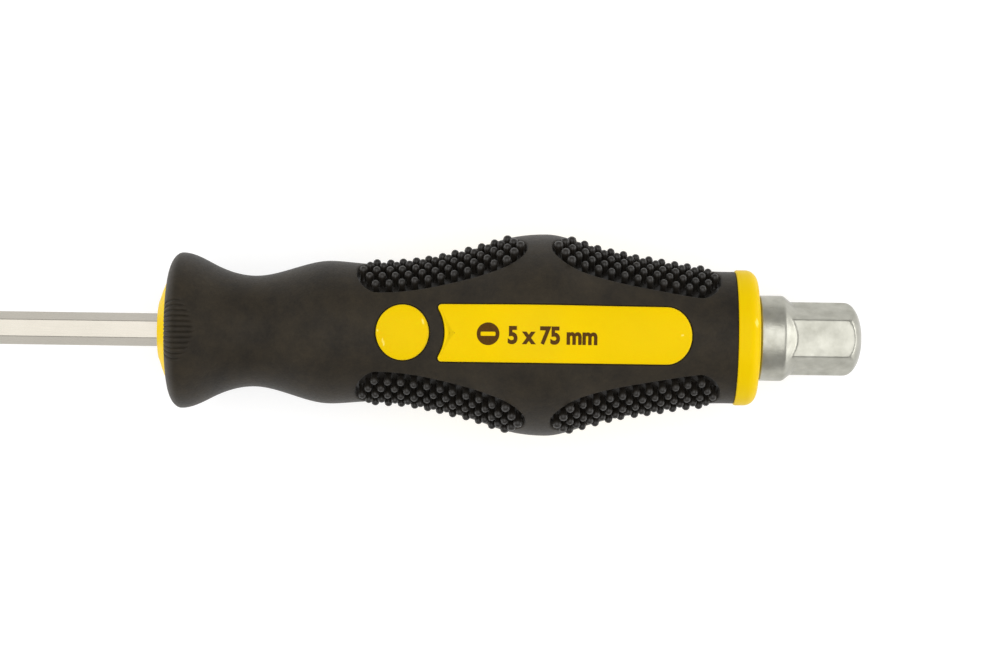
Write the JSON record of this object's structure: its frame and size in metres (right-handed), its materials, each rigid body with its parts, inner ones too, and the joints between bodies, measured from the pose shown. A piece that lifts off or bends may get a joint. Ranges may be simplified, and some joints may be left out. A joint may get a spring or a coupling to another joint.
{
  "type": "strike-through screwdriver",
  "caption": "Slotted screwdriver with a hexagonal through-tang blade, a soft pimpled grip with inlaid panels, and a steel strike cap behind it.",
  "frame": {"origin": "middle of the slotted tip's end face, on the tool's axis", "axes": "+X along the tool's axis from the tip to the strike cap, +Z out through the middle of the top size panel, +Y to the side, towards the right-hand pads"},
  "size_m": [0.1958, 0.0346, 0.0357],
  "materials": {
    "blade_steel": "satin nickel-plated chrome-vanadium steel",
    "cap_steel": "satin plated forged steel",
    "yellow_plastic": "moulded polypropylene, semi-gloss",
    "core_plastic": "moulded polypropylene",
    "soft_black": "matte thermoplastic elastomer",
    "pad_black": "matte soft thermoplastic elastomer"
  },
  "bodies": {
    "root": {"blade": "blade_steel", "strike_cap": "cap_steel", "nose_collar": "yellow_plastic", "butt_ring": "yellow_plastic", "handle_core": "core_plastic", "grip_sleeve": "soft_black", "size_panel_top": "yellow_plastic", "size_panel_left": "yellow_plastic", "size_panel_right": "yellow_plastic", "oval_inlay_top": "yellow_plastic", "oval_inlay_left": "yellow_plastic", "oval_inlay_right": "yellow_plastic", "front_pad_left": "pad_black", "front_pad_bottom": "pad_black", "front_pad_right": "pad_black", "rear_pad_left": "pad_black", "rear_pad_bottom": "pad_black", "rear_pad_right": "pad_black"}
  },
  "joints": []
}
